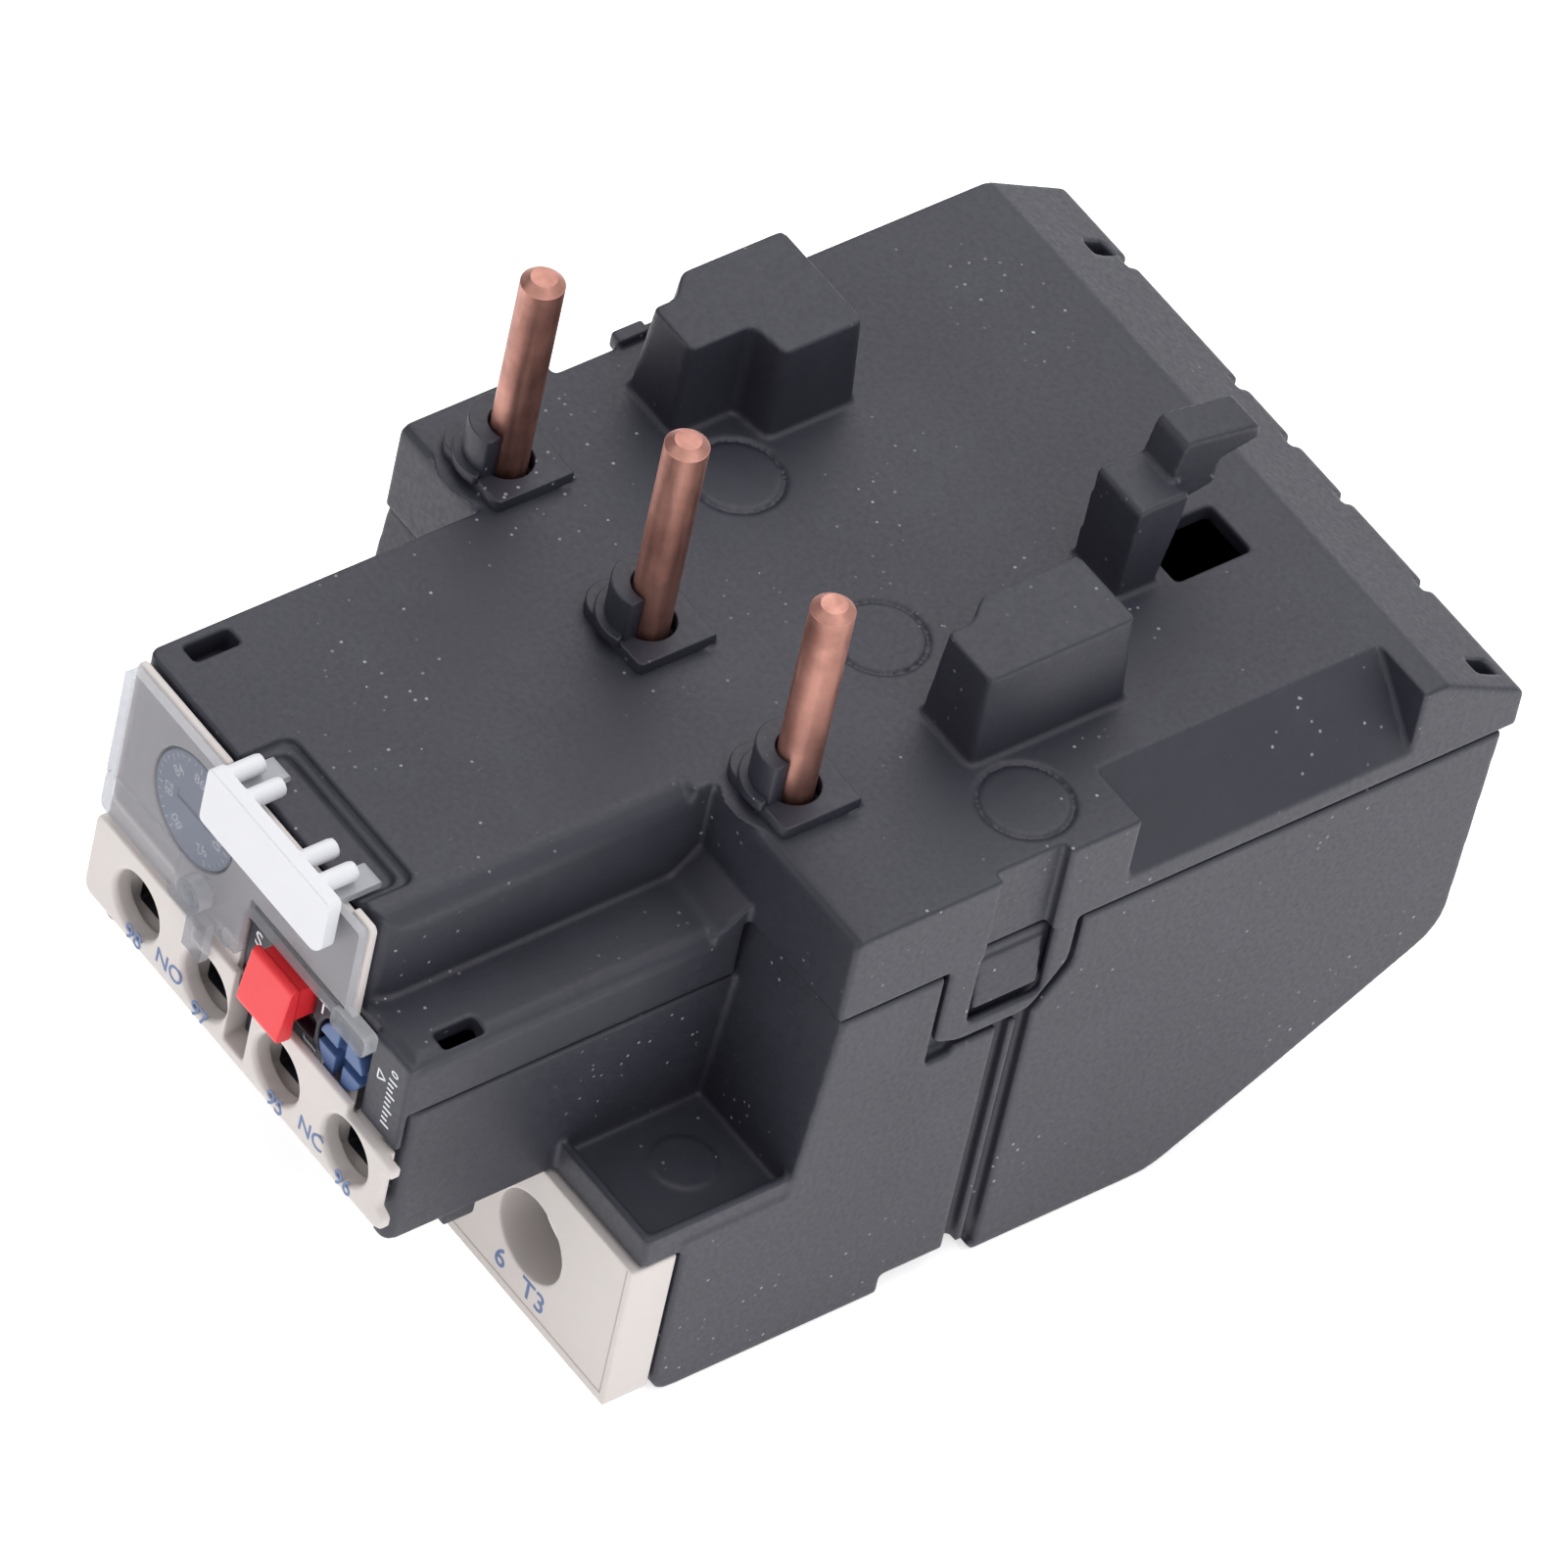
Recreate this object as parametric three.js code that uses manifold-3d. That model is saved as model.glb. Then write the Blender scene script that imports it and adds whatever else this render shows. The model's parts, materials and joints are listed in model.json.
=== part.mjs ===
// Three-pole thermal overload relay, the kind that plugs under a contactor.
// Millimetres, +Z up. X runs across the poles, the terminals face -Y.
import * as THREE from "three";
import { mergeVertices } from "three/addons/utils/BufferGeometryUtils.js";
import Module from "manifold-3d";

const wasm = await Module();
wasm.setup();

// ---- driving dimensions ----
const WIDTH = 70; // body width across the poles
const TOP_Z = 53.85; // flat top of the cover
const SEAM_Z = 43.35; // joint between base and cover
const BACK_Y = 75.5; // rearmost edge of the cover
const CREASE_Y = 65.2; // where the rear chamfer starts
const WALL = 2; // moulded wall thickness
const PITCH = 22; // pole pitch
const PIN_PITCH = 21.95;
const PIN_X = -4.45; // middle pin
const PIN_Y = 4.8;
const PIN_R = 2.08;
const PIN_TOP = 78.3;
const POLE_X = -0.8; // middle power terminal
const NOSE_L = -23.15; // left wall of the nose
const NOSE_R = 13.4; // right wall of the upper nose
const SHELF_R = 21.4; // right wall of the lower nose
const NOSE_Y = -36.2; // front of the nose casing
const NOSE_SEAM = 36.6; // joint between base and cover on the nose
const NOSE_Z = 19.5; // underside of the nose
const SHELF_Z = 43.3; // step beside the nose
const STRIP_F = -18.3; // front of the power strip
const STRIP_B = -13.2;
const STRIP_T = 19.2;
const STRIP_Z = 10.45; // power screw height
const AUX_F = -38; // front of the auxiliary terminals
const AUX_T = 33.4;
const AUX_B = 23.4; // lower edge of the front plate
const AUX_Z = 27.9; // auxiliary screw height
const AUX_SEAT = -27.8; // where the wires of the auxiliary terminals stop
const AUX_X = { 98: -16.2, 97: -5.6, 95: 5.6, 96: 16.2 };
const DIAL = { x: -12.2, z: 44.1, r: 5.75 };
const KNOB = { x: 12.3, z: 35.9, r: 3.2 };
const KNOB_F = -37.2; // front of the knob
const STOP = { x: 4.3, z: 37.6 };
const FRONT_Y = -40.6; // foremost point, the stop button
const FRAME_F = -37.3; // front of the window frame
const COVER_F = -38.5; // front of the clear cover
const HINGE = { y: -33.6, z: 53.25 }; // axis of the clear cover
const EJECTOR = { dx: 10.6, y: 23, r: 4.65 }; // marks in the top, from each pin
const POCKET_Y = -34.3; // floor of the well round the knob
const MID_Y = (BACK_Y + FRONT_Y) / 2; // centre of the whole depth
const HALF = WIDTH / 2;
const POLES = [POLE_X - PITCH, POLE_X, POLE_X + PITCH];

// ---- solids ----
function solid(geometry) {
  const bare = geometry.index ? geometry.toNonIndexed() : geometry.clone();
  bare.deleteAttribute("normal");
  bare.deleteAttribute("uv");
  const merged = mergeVertices(bare, 1e-4);
  const mesh = new wasm.Mesh({
    numProp: 3,
    vertProperties: new Float32Array(merged.attributes.position.array),
    triVerts: new Uint32Array(merged.index.array),
  });
  return new wasm.Manifold(mesh);
}

function add(first, ...rest) {
  return rest.reduce((sum, part) => sum.add(part), first);
}

function cut(first, ...rest) {
  return rest.reduce((sum, part) => sum.subtract(part), first);
}

function box(x0, x1, y0, y1, z0, z1) {
  const g = new THREE.BoxGeometry(x1 - x0, y1 - y0, z1 - z0);
  g.translate((x0 + x1) / 2, (y0 + y1) / 2, (z0 + z1) / 2);
  return solid(g);
}

function shapeOf(points) {
  return new THREE.Shape(points.map((p) => new THREE.Vector2(p[0], p[1])));
}

// Rounds the corners of a closed outline; each point may carry its own radius.
function rounded(points, radius, steps = 4) {
  const out = [];
  points.forEach((p, i) => {
    const a = new THREE.Vector2(...points[(i + points.length - 1) % points.length].slice(0, 2));
    const b = new THREE.Vector2(p[0], p[1]);
    const c = new THREE.Vector2(...points[(i + 1) % points.length].slice(0, 2));
    const r = p[2] === undefined ? radius : p[2];
    const u = a.sub(b);
    const v = c.sub(b);
    const reach = Math.min(r, u.length() * 0.49, v.length() * 0.49);
    if (reach < 0.01) {
      out.push([b.x, b.y]);
      return;
    }
    const p0 = b.clone().add(u.setLength(reach));
    const p1 = b.clone().add(v.setLength(reach));
    for (let k = 0; k <= steps; k += 1) {
      const t = k / steps;
      const x = (1 - t) ** 2 * p0.x + 2 * t * (1 - t) * b.x + t * t * p1.x;
      const y = (1 - t) ** 2 * p0.y + 2 * t * (1 - t) * b.y + t * t * p1.y;
      out.push([x, y]);
    }
  });
  return out;
}

// Outline in X and Y, pushed up from z0 to z1.
function alongZ(points, z0, z1) {
  const g = new THREE.ExtrudeGeometry(shapeOf(points), { depth: z1 - z0, bevelEnabled: false });
  g.translate(0, 0, z0);
  return solid(g);
}

// Outline in Y and Z, pushed along X.
function alongX(points, x0, x1) {
  const g = new THREE.ExtrudeGeometry(shapeOf(points), { depth: x1 - x0, bevelEnabled: false });
  g.applyMatrix4(new THREE.Matrix4().set(0, 0, 1, x0, 1, 0, 0, 0, 0, 1, 0, 0, 0, 0, 0, 1));
  return solid(g);
}

// Outline in X and Z, pushed along Y.
function alongY(points, y0, y1) {
  const g = new THREE.ExtrudeGeometry(shapeOf(points), { depth: y1 - y0, bevelEnabled: false });
  g.applyMatrix4(new THREE.Matrix4().set(1, 0, 0, 0, 0, 0, -1, y1, 0, 1, 0, 0, 0, 0, 0, 1));
  return solid(g);
}

function rect(x0, x1, y0, y1) {
  return [
    [x0, y0],
    [x1, y0],
    [x1, y1],
    [x0, y1],
  ];
}

function rodZ(x, y, r, z0, z1, seg = 24) {
  const g = new THREE.CylinderGeometry(r, r, z1 - z0, seg);
  g.rotateX(Math.PI / 2);
  g.translate(x, y, (z0 + z1) / 2);
  return solid(g);
}

function rodY(x, z, r, y0, y1, seg = 24, r1 = r) {
  const g = new THREE.CylinderGeometry(r1, r, y1 - y0, seg);
  g.translate(x, (y0 + y1) / 2, z);
  return solid(g);
}

function rodX(y, z, r, x0, x1, seg = 20) {
  const g = new THREE.CylinderGeometry(r, r, x1 - x0, seg);
  g.rotateZ(Math.PI / 2);
  g.translate((x0 + x1) / 2, y, z);
  return solid(g);
}

const group = new THREE.Group();

function put(name, shape, color, roughness, metalness = 0) {
  const mesh = shape.getMesh();
  const g = new THREE.BufferGeometry();
  g.setAttribute("position", new THREE.BufferAttribute(new Float32Array(mesh.vertProperties), 3));
  g.setIndex(new THREE.BufferAttribute(new Uint32Array(mesh.triVerts), 1));
  g.computeVertexNormals();
  const material = new THREE.MeshStandardMaterial({ color, roughness, metalness });
  const made = new THREE.Mesh(g, material);
  made.name = name;
  group.add(made);
}

const BLACK = 0x2b2d33;
const BEIGE = 0xd9cfc6;
const STEEL = 0xa9a9ab;
const COPPER = 0xb87460;

// ---- housing ----
function baseOuter() {
  return [
    [-13, 0, 2.5],
    [12.3, 0, 0],
    [12.3, 2.35, 0],
    [21.3, 2.35, 0],
    [23, 0, 0],
    [43, 0, 2],
    [54.7, 6.6, 3],
    [72.9, 17.6, 3],
    [74, SEAM_Z - 0.15, 0],
    [0, SEAM_Z - 0.15, 0],
    [-1.8, 20.9, 0],
    [-13, 20.9, 0],
  ];
}

function baseInner() {
  return [
    [1.2, 4.4],
    [21.5, 4.4],
    [23.6, 2.2],
    [42.2, 2.2],
    [53.8, 9],
    [70.4, 19],
    [71.8, SEAM_Z + 1],
    [1.2, SEAM_Z + 1],
  ];
}

function poleCell(k) {
  const x0 = k === 0 ? -HALF + WALL : POLES[k] - PITCH / 2 + 0.7;
  const x1 = k === 2 ? HALF - WALL : POLES[k] + PITCH / 2 - 0.7;
  return [x0, x1];
}

function baseHousing() {
  let body = alongX(rounded(baseOuter(), 0), -HALF, HALF);
  POLES.forEach((x, k) => {
    const [x0, x1] = poleCell(k);
    body = body.subtract(alongX(baseInner(), x0, x1));
    // clamp bay, open underneath for the wire and in front for the screw
    body = body.subtract(box(x - 8, x + 8, -14, 0, -1, 18.6));
    body = body.subtract(box(x - 5, x + 5, -1, 2, 12, 17));
  });
  // nose: floor and walls
  const outer = rounded(rect(NOSE_L, SHELF_R, NOSE_Y + 0.3, 1), 1.2);
  body = body.add(alongZ(outer, NOSE_Z, NOSE_SEAM - 0.15));
  const cavity = rect(NOSE_L + WALL, SHELF_R - WALL, NOSE_Y + 0.5, -1.9);
  body = body.subtract(alongZ(cavity, NOSE_Z + 1.8, NOSE_SEAM + 1));
  body = body.subtract(box(NOSE_L + WALL, SHELF_R - WALL, NOSE_Y - 1, AUX_SEAT + 0.3, NOSE_Z - 1, NOSE_SEAM + 1));
  // way through from the pole cells to the switch in the nose
  body = body.subtract(box(-21, -9, -4, 3, 30, SEAM_Z + 1));
  // trays beside the nose, over the outer power terminals
  body = body.add(tray(20.2, HALF - 0.2), tray(-HALF + 0.2, -22.2));
  // slot for the trip slides through the two partitions
  body = body.subtract(box(-22, 20, 22.4, 37.6, 36.6, SEAM_Z + 1));
  // side grooves and latch seats
  [-1, 1].forEach((s) => {
    const xa = s > 0 ? HALF - 1.2 : -HALF - 1;
    const xb = s > 0 ? HALF + 1 : -HALF + 1.2;
    body = body.subtract(box(xa, xb, 19.2, 20.7, 2, 33));
    body = body.subtract(box(xa, xb, 21.5, 23.1, 1, 33));
    body = body.subtract(alongX(rounded(strapSeat(), 1), xa, xb));
    body = body.add(latchTooth(s));
  });
  // locating tab under the nose
  body = body.add(box(SHELF_R - 3, SHELF_R - 0.6, -28.7, -25.3, 17.2, NOSE_Z + 1));
  return body;
}

function strapSeat() {
  return [
    [11.4, SEAM_Z + 1, 0],
    [11.4, 31.6, 0],
    [14, 31.6, 0],
    [14.4, 32.4, 0],
    [23, 32.4, 0.8],
    [26.8, 37.2, 0.8],
    [26.8, SEAM_Z + 1, 0],
  ];
}

function latchTooth(s) {
  const outline = [
    [HALF - 1.4, 35.8],
    [HALF - 0.25, 36.4],
    [HALF - 0.9, 42],
    [HALF - 1.4, 42],
  ];
  return alongY(s > 0 ? outline : outline.map((p) => [-p[0], p[1]]).reverse(), 15.8, 23);
}

function tray(x0, x1) {
  const shell = alongZ(rounded(rect(x0, x1, -17.5, -0.9), 0.4), STRIP_T + 0.3, 23.2);
  const well = rounded(rect(x0 + 0.9, x1 - 0.9, -16.6, 3), 0.4);
  const dish = cut(shell, alongZ(well, 21.3, 24));
  const disc = rodZ((x0 + x1) / 2, -7.9, 3, 21, 21.45, 32);
  return add(dish, disc);
}

// ---- cover ----
function coverProfile() {
  return [
    [-0.5, SEAM_Z + 0.15, 0],
    [BACK_Y, SEAM_Z + 0.15, 0],
    [BACK_Y, 48, 0.8],
    [CREASE_Y, TOP_Z, 0.8],
    [-0.5, TOP_Z, 1.2],
  ];
}

function noseCover() {
  const plan = rounded(
    [
      [NOSE_L, 2, 0],
      [NOSE_L, NOSE_Y, 1.2],
      [NOSE_R, NOSE_Y, 3.2],
      [NOSE_R, 2, 0],
    ],
    0,
    5,
  );
  const front = alongZ(plan, NOSE_SEAM + 0.15, TOP_Z);
  // large radius along the right top edge
  const r = 2.4;
  const arc = [[NOSE_R + 1, TOP_Z + 1]];
  for (let k = 0; k <= 6; k += 1) {
    const a = (k / 6) * (Math.PI / 2);
    arc.push([NOSE_R - r + r * Math.sin(a), TOP_Z - r + r * Math.cos(a)]);
  }
  const edge = alongY([arc[0], ...arc.slice(1).reverse()].reverse(), NOSE_Y - 1, -2.6);
  return cut(front, edge, box(NOSE_L - 1, NOSE_R + 1, -0.9, 3, NOSE_SEAM, SEAM_Z + 0.15));
}

function shelf() {
  const profile = [
    [NOSE_Y, NOSE_SEAM + 0.15, 0],
    [1, NOSE_SEAM + 0.15, 0],
    [1, 47.2, 0],
    [-3.4, SHELF_Z, 1],
    [NOSE_Y, SHELF_Z, 0.8],
  ];
  const raw = alongX(rounded(profile, 0), NOSE_R - 2, SHELF_R);
  const r = 1.4;
  const corner = [
    [SHELF_R + 1, SHELF_Z - r],
    [SHELF_R, SHELF_Z - r],
    [SHELF_R - 0.3 * r, SHELF_Z - 0.3 * r],
    [SHELF_R - r, SHELF_Z],
    [SHELF_R - r, SHELF_Z + 1],
    [SHELF_R + 1, SHELF_Z + 1],
  ];
  const back = box(NOSE_R - 3, SHELF_R + 1, -0.9, 3, NOSE_SEAM, SEAM_Z + 0.15);
  return cut(raw, alongY(corner.reverse(), NOSE_Y - 1, -4), back);
}

// Sides lean in by 0.6 mm from the foot of the block to its top.
function block(outline, top) {
  const upper = rounded(outline(0), 0.7, 2);
  const lower = rounded(outline(0.6), 0.7, 2);
  const depth = top - TOP_Z + 0.5;
  const g = new THREE.ExtrudeGeometry(shapeOf(upper), { depth, bevelEnabled: false });
  const position = g.attributes.position;
  for (let i = 0; i < position.count; i += 1) {
    if (position.getZ(i) > depth / 2) {
      continue;
    }
    const x = position.getX(i);
    const y = position.getY(i);
    const k = upper.findIndex((p) => Math.hypot(p[0] - x, p[1] - y) < 1e-4);
    position.setXY(i, lower[k][0], lower[k][1]);
  }
  g.translate(0, 0, TOP_Z - 0.5);
  return solid(g);
}

function blockA(m) {
  return [
    [-29 - m, 21.2 - m],
    [-23 + m, 21.2 - m],
    [-23 + m, 28 - m],
    [-18.8 + m, 28.6 - m],
    [-18.8 + m, 37.4 + m],
    [-31.4 - m, 37.4 + m],
    [-31.4 - m, 26.2 - m],
    [-29 - m, 23.8 - m],
  ];
}

function blockB(m) {
  return [
    [15.4 - m, 21.5 - m],
    [22 + m, 21.5 - m],
    [22 + m, 37.7 + m],
    [13.3 - m, 37.7 + m],
    [13.3 - m, 26.9 - m],
    [15.4 - m, 24.4 - m],
  ];
}

function hook() {
  const post = [
    [44.6, TOP_Z - 0.5],
    [49, TOP_Z - 0.5],
    [50.6, 61.6],
    [50.9, 64.7],
    [45.2, 64.7],
  ];
  const arm = [
    [50, 60.8, 0.4],
    [55.6, 62, 0.4],
    [55.6, 64.9, 0.4],
    [59.8, 65.7, 0.3],
    [59.7, 67.4, 0.6],
    [51, 69.1, 0.8],
    [50, 64.4, 0],
  ];
  return add(alongX(rounded(post, 0.6, 2), 6, 12.4), alongX(rounded(arm, 0, 2), 6.1, 10.5));
}

function boss(x) {
  const plan = rounded(
    [
      [x - 5.6, 1.2, 3],
      [x + 4, 0.9, 0.4],
      [x + 4.3, 9.4, 0.4],
      [x - 2.6, 9.5, 1.5],
      [x - 6.3, 5, 2],
    ],
    0,
  );
  const plate = alongZ(plan, TOP_Z - 0.5, TOP_Z + 1.1);
  const flange = rodZ(x - 0.9, PIN_Y - 0.5, 5.5, TOP_Z - 0.1, TOP_Z + 0.4, 36);
  const ring = rodZ(x - 0.6, PIN_Y - 0.3, 4.4, TOP_Z, TOP_Z + 1.3, 36);
  const well = rodZ(x - 0.4, PIN_Y - 0.2, 3.5, TOP_Z - 0.9, TOP_Z + 9, 32);
  const sleeve = rodZ(x - 0.5, PIN_Y - 0.35, 3.6, TOP_Z - 1.2, TOP_Z + 5.9, 28);
  // only the front-left part of the sleeve is there
  const keep = alongZ(
    [
      [x - 6, PIN_Y + 1.2],
      [x - 6, -3],
      [x + 1.4, -3],
      [x + 1, PIN_Y - 1.8],
      [x - 2.2, PIN_Y + 0.8],
    ],
    TOP_Z - 1.2,
    TOP_Z + 9,
  );
  return { solid: add(plate, flange, ring), well, sleeve: sleeve.intersect(keep) };
}

function strap(s) {
  const seat = [
    [11.9, SEAM_Z + 2, 0],
    [11.9, 34.2, 0.6],
    [14.6, 33.1, 0.4],
    [22.6, 33.1, 1],
    [26.1, 38, 0.8],
    [26.1, SEAM_Z + 2, 0],
  ];
  const xa = s > 0 ? HALF - 0.9 : -HALF;
  const band = alongX(rounded(seat, 0), xa, xa + 0.9);
  const hole = alongX(rounded(rect(15.3, 23.5, 35, TOP_Z + 2), 0.8), xa - 2, xa + 3);
  return cut(band, hole);
}

function coverCavity() {
  const inner = [
    [1.5, SEAM_Z - 1],
    [BACK_Y - 2.2, SEAM_Z - 1],
    [BACK_Y - 2.2, 47],
    [CREASE_Y - 1, TOP_Z - WALL],
    [1.5, TOP_Z - WALL],
  ];
  return alongX(inner, -HALF + WALL, HALF - 9);
}

function topCover() {
  let body = alongX(rounded(coverProfile(), 0), -HALF, HALF);
  // sloped panel behind the right shoulder
  const slope = [
    [HALF - 7, TOP_Z + 0.01],
    [HALF + 1, 45],
    [HALF + 1, TOP_Z + 2],
    [HALF - 7, TOP_Z + 2],
  ];
  body = body.subtract(alongY(slope, 31, 62.8));
  body = add(body, noseCover(), shelf());
  // ribs keep the lid stiff and the cavity open
  body = body.subtract(coverCavity());
  body = body.subtract(alongX(rounded([[32, 40], [62, 40], [62, 44.6], [32, 44.6]], 0), 24, HALF - WALL));
  body = body.subtract(alongX([[1.5, 40], [30, 40], [30, TOP_Z - WALL], [1.5, TOP_Z - WALL]], 24, HALF - WALL));
  body = body.subtract(box(NOSE_L + WALL, NOSE_R - WALL, NOSE_Y - 1, 3, NOSE_SEAM - 1, TOP_Z - WALL));
  body = body.subtract(box(NOSE_R - 3, SHELF_R - WALL, NOSE_Y - 1, -4, NOSE_SEAM - 1, SHELF_Z - WALL));
  // label recess with a stepped, rounded back edge
  body = body.subtract(alongZ(rounded(rect(-9, 10.2, NOSE_Y - 1, -30.6), 1.4), TOP_Z - 0.7, TOP_Z + 1));
  body = body.subtract(alongZ(rounded(rect(-8, 9.2, NOSE_Y - 1, -31.6), 1.2), TOP_Z - 1.3, TOP_Z + 1));
  // flap with the scale, hanging from the front of the shelf
  body = add(body, box(15.8, SHELF_R - 0.2, NOSE_Y - 0.8, NOSE_Y + 0.05, AUX_T - 1.2, SHELF_Z - 0.5));
  body = add(body, box(15.8, SHELF_R - 2.2, NOSE_Y - 0.7, NOSE_Y + 1, SHELF_Z - 2.3, SHELF_Z - 0.5));
  // snap windows
  body = body.subtract(box(-22.1, -20, -33.2, -28.3, TOP_Z - 3, TOP_Z + 1));
  body = body.subtract(box(18.6, 20.6, -33, -28.6, SHELF_Z - 3, SHELF_Z + 1));
  // opening behind the hook
  body = body.subtract(box(7.1, 13.3, 50.9, 59.3, TOP_Z - 4, TOP_Z + 0.5));
  body = add(body, block(blockA, 64.2), block(blockB, 64.2), hook());
  [-1, 0, 1].forEach((k) => {
    const x = PIN_X + k * PIN_PITCH;
    const made = boss(x);
    body = cut(add(body, made.solid), made.well);
    body = add(body, made.sleeve).subtract(rodZ(x, PIN_Y, PIN_R + 0.3, 40, TOP_Z + 9, 28));
    // shallow ring left by an ejector
    const mark = cut(
      rodZ(x + EJECTOR.dx, EJECTOR.y, EJECTOR.r, TOP_Z - 0.4, TOP_Z + 1, 36),
      rodZ(x + EJECTOR.dx, EJECTOR.y, EJECTOR.r - 0.55, TOP_Z - 1, TOP_Z + 2, 36),
    );
    body = body.subtract(mark);
  });
  body = add(body, strap(1), strap(-1));
  // hand-hold of the latch window, cut round the top edge
  body = body.subtract(box(HALF - 1.2, HALF + 1, 15.6, 23.2, SEAM_Z - 1, TOP_Z + 1));
  body = body.subtract(box(-HALF - 1, -HALF + 1.2, 15.6, 23.2, SEAM_Z - 1, TOP_Z + 1));
  body = add(body, box(-HALF, -HALF + 1.6, 22.5, 26, TOP_Z - 1, TOP_Z + 0.9));
  return rearEdge(body);
}

// Key notches and small windows of the rear edge.
function rearEdge(start) {
  let body = start;
  [-27, 31].forEach((x) => {
    body = body.subtract(alongX([[70.3, 48], [73, 46.4], [74.2, 50.6], [71.6, 52]], x - 0.2, x + 1.8));
  });
  [-24.5, -7.5, 0.5, 8.5, 20.5].forEach((x) => {
    body = body.subtract(box(x - 0.8, x + 0.8, BACK_Y - 1.4, BACK_Y + 1, SEAM_Z - 1, TOP_Z));
  });
  return body;
}

// ---- terminals ----
function powerStrip() {
  let body = box(-34.7, 34.7, STRIP_F, STRIP_B - 0.1, 1.2, STRIP_T);
  POLES.forEach((x) => {
    body = body.subtract(rodY(x, STRIP_Z, 4.65, STRIP_F - 1, STRIP_B + 1, 36));
  });
  [-1, 1].forEach((s) => {
    body = body.subtract(box(s * 11 + POLE_X - 0.3, s * 11 + POLE_X + 0.3, STRIP_F - 1, STRIP_F + 0.5, 0, 20));
  });
  return body;
}

function powerClamp(x) {
  const cage = box(x - 7, x + 7, -7.8, -0.4, 3.4, 17.4);
  const slot = box(x - 3.6, x + 3.6, -2.5, 0, 12.8, 15.2);
  return cut(cage, box(x - 5.2, x + 5.2, -6.1, -1.7, 2, 19), rodY(x, STRIP_Z, 2.8, -11, -5.5, 24), slot);
}

function screw(x, z, head, shank, y0, y1, y2, hex) {
  const body = add(rodY(x, z, head, y0, y1, 28), rodY(x, z, shank, y1 - 0.1, y2, 20));
  if (hex) {
    return cut(body, rodY(x, z, head * 0.55, y0 - 1, y0 + 2.2, 6));
  }
  const slot = box(x - head * 0.8, x + head * 0.8, y0 - 1, y0 + 0.9, z - 0.45, z + 0.45);
  const cross = box(x - 0.45, x + 0.45, y0 - 1, y0 + 0.9, z - head * 0.8, z + head * 0.8);
  return cut(body, slot, cross);
}

function auxPlate() {
  const outline = [
    [-23.4, AUX_B, 1.2],
    [21.6, AUX_B, 0.4],
    [22.8, AUX_B + 0.6, 0.3],
    [22.8, AUX_B + 1.9, 0.3],
    [21.6, AUX_B + 2.4, 0.3],
    [21.6, AUX_T - 3.2, 0.3],
    [22.8, AUX_T - 2.8, 0.3],
    [22.8, AUX_T - 1.6, 0.3],
    [15.5, AUX_T - 1.5, 0],
    [15.5, AUX_T, 0.3],
    [-23.4, AUX_T, 1],
  ];
  return alongY(rounded(outline, 0, 3), AUX_F - 0.2, AUX_F + 0.8);
}

function auxBlock() {
  const frame = alongY(rounded(rect(-22.9, 13.1, AUX_T - 1.5, 53.4), 0.8), FRAME_F, NOSE_Y - 0.3);
  const inset = box(-20.6, 18.9, NOSE_Y - 0.4, -24.2, 22, 31.9);
  const web = box(-22.9, 21, AUX_F + 0.6, NOSE_Y - 0.3, AUX_B + 0.2, AUX_T - 1.6);
  let body = add(auxPlate(), web, frame, inset);
  Object.values(AUX_X).forEach((x) => {
    // funnel mouth, tunnel for the screwdriver, pocket and wire slot
    body = body.subtract(rodY(x, AUX_Z, 3.75, AUX_F - 0.3, AUX_F + 0.25, 36, 3.35));
    body = body.subtract(rodY(x, AUX_Z, 3.35, AUX_F, -30, 36));
    body = body.subtract(box(x - 3.35, x + 3.35, NOSE_Y, -23, 23.9, 31.4));
    body = body.subtract(box(x - 2.4, x + 2.4, -32.7, AUX_SEAT, 18, 25));
  });
  // slot between the two pairs of terminals
  body = body.subtract(box(-1.9, 1.2, AUX_F - 1, -34.9, 24.7, AUX_T + 0.5));
  // openings for the controls
  body = body.subtract(box(-2.7, 15.3, AUX_F + 0.7, POCKET_Y + 0.9, 31.1, 41.9));
  body = body.subtract(box(-2.7, 15.3, AUX_F - 1, NOSE_Y - 0.1, AUX_T, 41.9));
  body = body.subtract(rodY(KNOB.x, KNOB.z, KNOB.r + 0.35, AUX_F + 0.7, -30, 32));
  body = body.subtract(rodY(DIAL.x, DIAL.z, DIAL.r + 0.3, AUX_F - 1, NOSE_Y, 36));
  body = body.subtract(box(-9, 10.2, AUX_F - 1, NOSE_Y, TOP_Z - 1.3, TOP_Z));
  return body;
}

function auxClamp(x) {
  return cut(box(x - 3, x + 3, -31.3, -30.4, 24.4, 31), rodY(x, AUX_Z, 1.9, -33, -29, 20));
}

function auxContact(x, side, reach) {
  const seat = box(x - 3, x + 3, -27.6, -26.4, 24.4, 31);
  const nut = cut(seat, rodY(x, AUX_Z, 1.9, -29, -25, 20));
  const arm = box(x + side - 0.9, x + side + 0.9, -26.5, reach, 29.4, 30.6);
  const tip = box(x + side - 1.2, x + side + 1.2, reach - 1.2, reach, 27, 30.6);
  return add(nut, arm, tip);
}

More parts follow.
